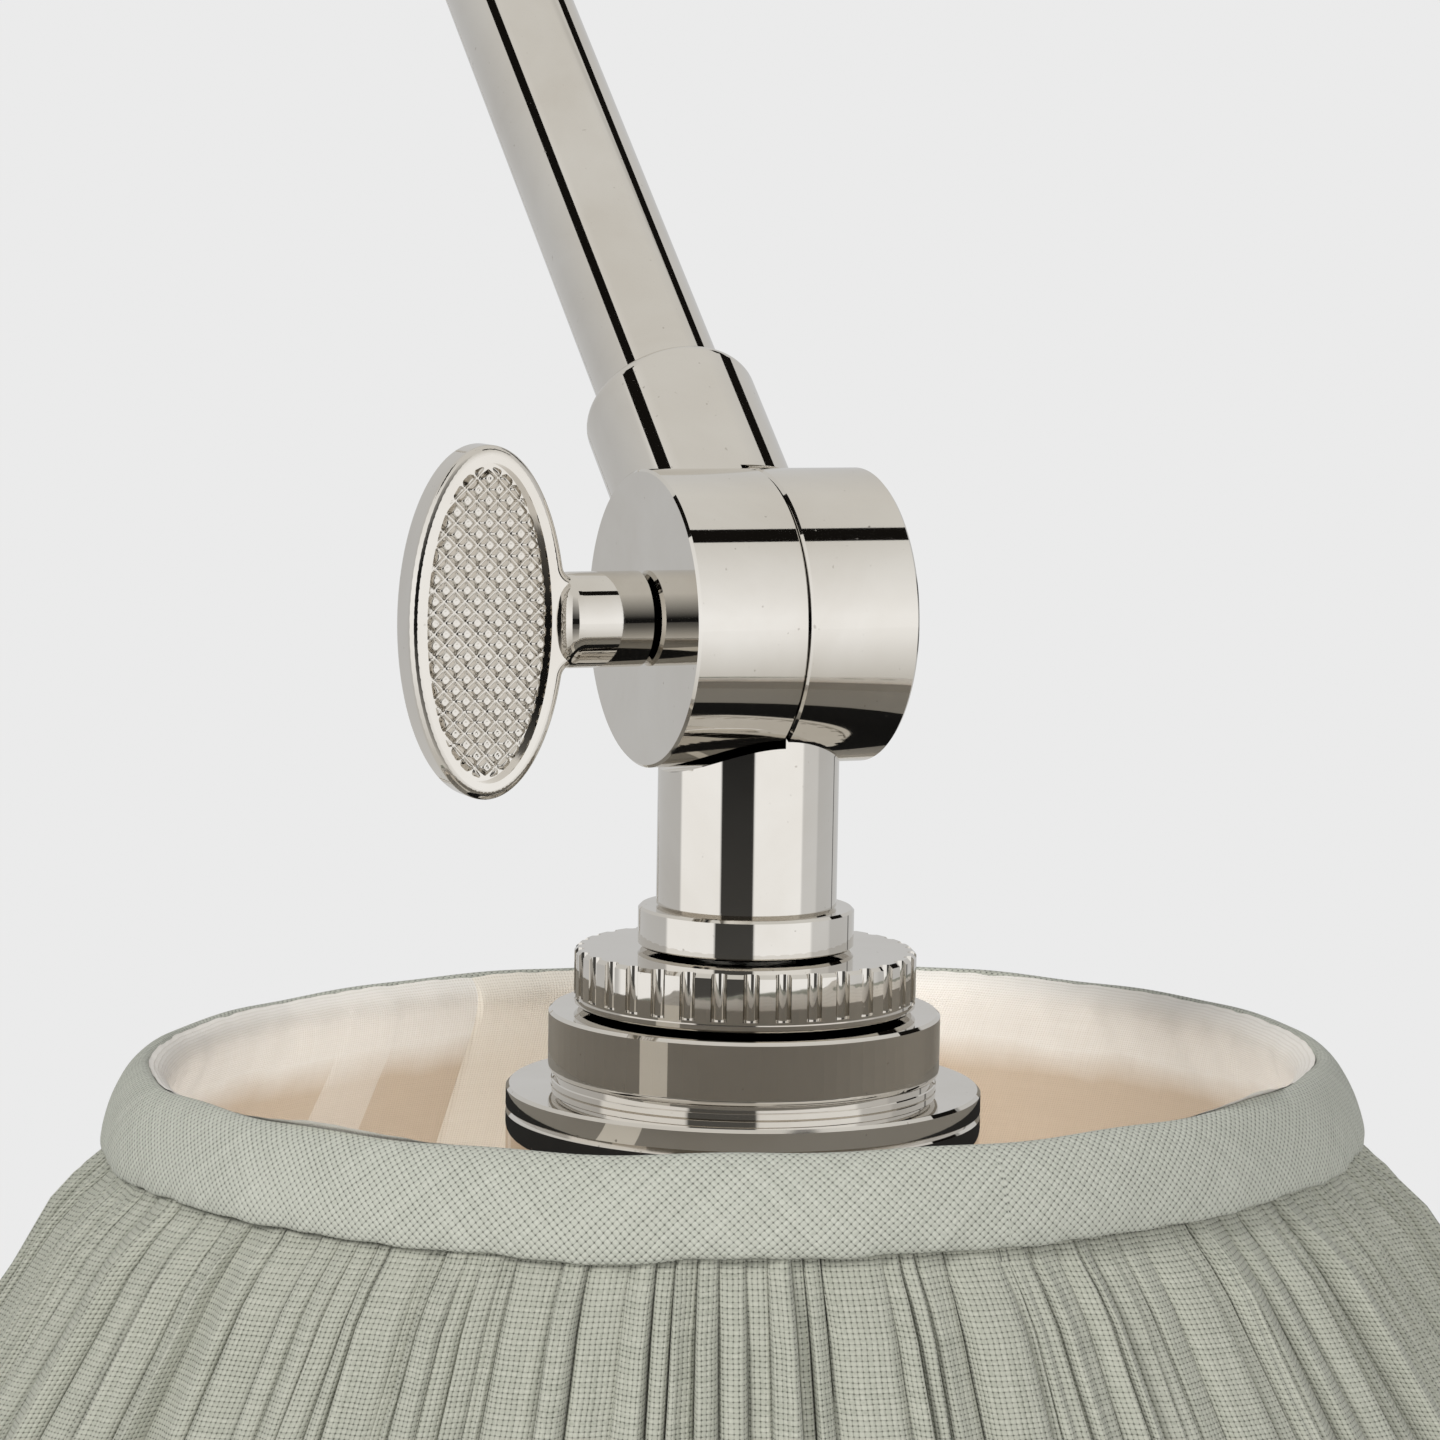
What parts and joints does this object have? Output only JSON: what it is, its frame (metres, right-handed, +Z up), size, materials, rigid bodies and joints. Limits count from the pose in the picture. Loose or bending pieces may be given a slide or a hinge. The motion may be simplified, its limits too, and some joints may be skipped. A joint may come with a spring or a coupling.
{
  "type": "pharmacy floor lamp",
  "caption": "Floor lamp with a round weighted base, sliding pole, tilting arm with thumb-key knuckles and a gathered linen shade on a turned socket cup.",
  "frame": {"origin": "middle of the base's underside, on the pole's axis", "axes": "+Z up along the pole, +X from the pole towards the lamp head, thumb keys on the -Y side"},
  "size_m": [0.7203, 0.2876, 1.3464],
  "materials": {
    "polished_nickel": "polished nickel plate",
    "cast_iron": "rough cast",
    "zinc_steel": "zinc plated",
    "felt": "pressed felt",
    "black_plastic": "moulded",
    "white_nylon": "moulded",
    "raw_brass": "turned",
    "phenolic": "moulded phenolic",
    "frosted_glass": "frosted inside",
    "bulb_cap_metal": "rolled",
    "white_wire": "white enamel",
    "linen": "gathered linen",
    "cotton_lining": "plain cotton"
  },
  "bodies": {
    "stand": {"base_pad": "felt", "base_weight": "cast_iron", "base_cover": "polished_nickel", "cord_bushing": "black_plastic", "base_nipple": "zinc_steel", "base_washer": "zinc_steel", "base_nut": "zinc_steel", "pole_ferrule": "polished_nickel", "lower_pole": "polished_nickel", "clutch_collar": "polished_nickel", "clutch_bush": "white_nylon", "clutch_cap": "polished_nickel"},
    "height_key": {"height_key": "polished_nickel"},
    "rod": {"upper_rod": "polished_nickel", "rod_guide": "white_nylon", "rod_plug": "raw_brass", "swivel_stud": "zinc_steel", "swivel_washer": "white_nylon"},
    "pole_head": {"top_collar": "polished_nickel", "top_knuckle_stem": "polished_nickel", "top_spring_washer": "zinc_steel", "top_pivot_nut": "zinc_steel", "top_knuckle_cap": "polished_nickel", "top_friction_washer": "white_nylon"},
    "arm": {"top_knuckle_sleeve": "polished_nickel", "arm_tube": "polished_nickel", "head_knuckle_sleeve": "polished_nickel"},
    "arm_key": {"top_key": "polished_nickel"},
    "head_key": {"head_key": "polished_nickel"},
    "lamp_head": {"head_knuckle_stem": "polished_nickel", "head_spring_washer": "zinc_steel", "head_pivot_nut": "zinc_steel", "head_knuckle_cap": "polished_nickel", "head_friction_washer": "white_nylon", "stem_collar": "polished_nickel", "socket_nipple": "zinc_steel", "socket_cap": "polished_nickel", "cup_flange": "polished_nickel", "socket_cup": "polished_nickel", "cup_nut": "zinc_steel", "socket_body": "phenolic", "socket_shell": "raw_brass", "socket_contact": "raw_brass", "bulb_base": "bulb_cap_metal", "bulb_glass": "frosted_glass", "shade_fitter": "white_wire", "fitter_nut": "phenolic", "shade_top_ring": "white_wire", "shade_ribs": "white_wire", "shade_bottom_ring": "white_wire", "shade_cover": "linen", "shade_lining": "cotton_lining", "top_binding": "linen", "bottom_binding": "linen"},
    "lock_ring": {"knurled_ring": "polished_nickel"},
    "switch_knob": {"switch_knob": "polished_nickel"}
  },
  "joints": [
    {"name": "height_slide", "type": "slide", "parent": "stand", "child": "rod", "axis": [0, 0, 1], "range_m": [-0.15, 0.15]},
    {"name": "height_key_turn", "type": "hinge", "parent": "stand", "child": "height_key", "pos_m": [0, -0.02, 0.842], "axis": [0, 1, 0], "range_deg": [0, 270]},
    {"name": "pole_swivel", "type": "hinge", "parent": "rod", "child": "pole_head", "pos_m": [0, 0, 1.298], "axis": [0, 0, 1], "range_deg": [-165, 165]},
    {"name": "arm_tilt", "type": "hinge", "parent": "pole_head", "child": "arm", "pos_m": [0, -0.00875, 1.33], "axis": [0, 1, 0], "range_deg": [-90, 15]},
    {"name": "arm_key_turn", "type": "hinge", "parent": "arm", "child": "arm_key", "pos_m": [0, -0.00875, 1.33], "axis": [0, 1, 0], "range_deg": [0, 270]},
    {"name": "head_tilt", "type": "hinge", "parent": "arm", "child": "lamp_head", "pos_m": [0.44563, -0.0175, 0.93574], "axis": [0, 1, 0], "range_deg": [-90, 45]},
    {"name": "head_key_turn", "type": "hinge", "parent": "arm", "child": "head_key", "pos_m": [0.44563, -0.0175, 0.93574], "axis": [0, 1, 0], "range_deg": [0, 270]},
    {"name": "lock_ring_turn", "type": "hinge", "parent": "lamp_head", "child": "lock_ring", "pos_m": [0.44563, -0.0175, 0.90124], "axis": [0, 0, 1], "range_deg": [0, 90]},
    {"name": "switch_turn", "type": "hinge", "parent": "lamp_head", "child": "switch_knob", "pos_m": [0.44563, -0.0415, 0.87074], "axis": [0, -1, 0], "continuous": true}
  ]
}
